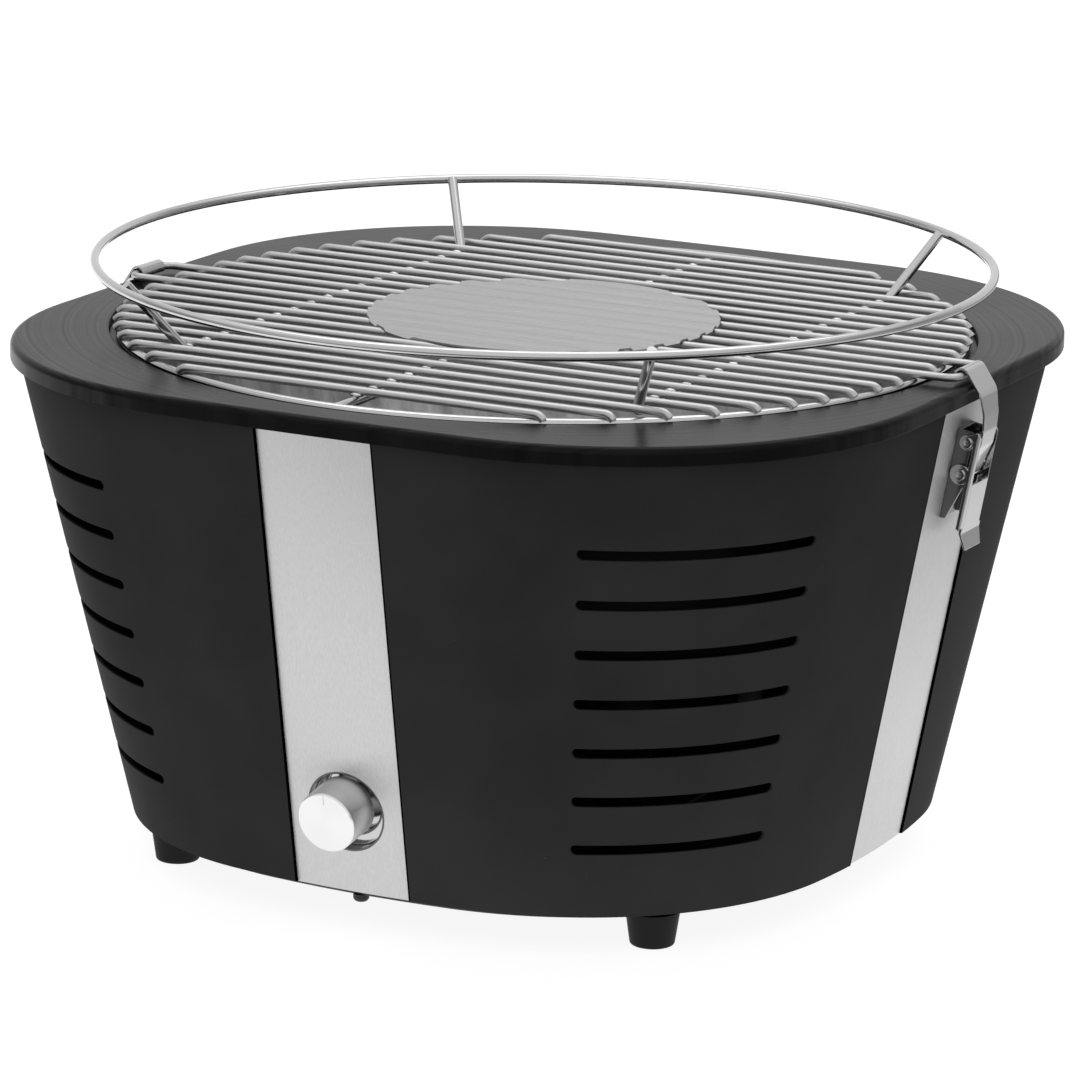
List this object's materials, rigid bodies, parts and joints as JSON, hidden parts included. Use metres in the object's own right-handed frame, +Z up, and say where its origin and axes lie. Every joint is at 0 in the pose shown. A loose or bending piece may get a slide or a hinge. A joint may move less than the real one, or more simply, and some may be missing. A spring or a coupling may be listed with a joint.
{
  "type": "portable tabletop grill",
  "caption": "Portable tabletop charcoal grill: tapered housing with air slots, wire grate with raised guard ring, two over-centre latches, bowl, basket and knob-controlled fan.",
  "frame": {"origin": "centre of the footprint on the table plane, under the feet", "axes": "+Z up; -Y is the front, with the knob; the two latches are at +X and -X"},
  "size_m": [0.383, 0.373, 0.236],
  "materials": {
    "rim_paint": "satin black enamel",
    "housing_paint": "satin black powder coat",
    "strip_steel": "vertical brushed grain",
    "latch_steel": "bright satin sheet",
    "latch_pins": "bright",
    "wire_chrome": "bright plated wire",
    "plate_steel": "matt",
    "bowl_steel": "satin",
    "knob_aluminium": "spun face",
    "dish_chrome": "polished",
    "fastener_steel": "plated",
    "black_plastic": "fine matt texture",
    "foot_rubber": "matt",
    "motor_can": "plated can",
    "cell_wrap": "plain shrink sleeve",
    "contact_brass": "plated",
    "cable_sheath": "flexible sheath"
  },
  "bodies": {
    "grill": {"back_strip": "strip_steel", "base_tray": "black_plastic", "batteries": "cell_wrap", "battery_box": "black_plastic", "battery_contacts": "contact_brass", "cables": "cable_sheath", "centre_plate": "plate_steel", "charcoal_basket": "bowl_steel", "control_nut": "fastener_steel", "corner_panel_back_left": "housing_paint", "corner_panel_back_right": "housing_paint", "corner_panel_front_left": "housing_paint", "corner_panel_front_right": "housing_paint", "cross_wires": "wire_chrome", "fan_duct": "black_plastic", "fan_motor": "motor_can", "feet": "foot_rubber", "foot_nuts": "fastener_steel", "foot_screws": "fastener_steel", "front_strip": "strip_steel", "front_stud": "black_plastic", "grate_bars": "wire_chrome", "grate_ring": "wire_chrome", "guard_ring": "wire_chrome", "inner_bowl": "bowl_steel", "knob_dish": "dish_chrome", "latch_rivets": "latch_pins", "left_latch_base": "latch_steel", "left_latch_pivot": "latch_pins", "left_strip": "strip_steel", "right_latch_base": "latch_steel", "right_latch_pivot": "latch_pins", "right_strip": "strip_steel", "rim_nuts": "fastener_steel", "speed_control": "black_plastic", "starter_tray": "bowl_steel", "top_rim": "rim_paint", "tray_screws": "fastener_steel"},
    "knob": {"knob": "knob_aluminium", "control_shaft": "fastener_steel"},
    "fan": {"fan_impeller": "black_plastic", "motor_shaft": "fastener_steel"},
    "right_lever": {"right_latch_lever": "latch_steel", "right_latch_strap_pin": "latch_pins"},
    "right_strap": {"right_latch_strap": "latch_steel"},
    "left_lever": {"left_latch_lever": "latch_steel", "left_latch_strap_pin": "latch_pins"},
    "left_strap": {"left_latch_strap": "latch_steel"},
    "battery_door": {"battery_cover": "black_plastic"}
  },
  "joints": [
    {"name": "knob_turn", "type": "hinge", "parent": "grill", "child": "knob", "pos_m": [0, -0.15602, 0.0514], "axis": [0, 0.984, 0.1784], "range_deg": [0, 270]},
    {"name": "fan_spin", "type": "hinge", "parent": "grill", "child": "fan", "pos_m": [0, 0, 0.043], "axis": [0, 0, 1], "continuous": true},
    {"name": "right_lever_open", "type": "hinge", "parent": "grill", "child": "right_lever", "pos_m": [0.18535, 0, 0.1849], "axis": [0, -1, 0], "range_deg": [0, 90]},
    {"name": "right_strap_follow", "type": "hinge", "parent": "right_lever", "child": "right_strap", "pos_m": [0.18285, 0, 0.17224], "axis": [0, -1, 0], "range_deg": [-59, 0]},
    {"name": "left_lever_open", "type": "hinge", "parent": "grill", "child": "left_lever", "pos_m": [-0.18535, 0, 0.1849], "axis": [0, 1, 0], "range_deg": [0, 90]},
    {"name": "left_strap_follow", "type": "hinge", "parent": "left_lever", "child": "left_strap", "pos_m": [-0.18285, 0, 0.17224], "axis": [0, 1, 0], "range_deg": [-59, 0]},
    {"name": "battery_door_open", "type": "hinge", "parent": "grill", "child": "battery_door", "pos_m": [0, 0.0635, 0.0164], "axis": [-1, 0, 0], "range_deg": [0, 100]}
  ],
  "couplings": [
    {"joint": "right_strap_follow", "follows": "right_lever_open", "ratio": -0.65},
    {"joint": "left_strap_follow", "follows": "left_lever_open", "ratio": -0.65}
  ]
}
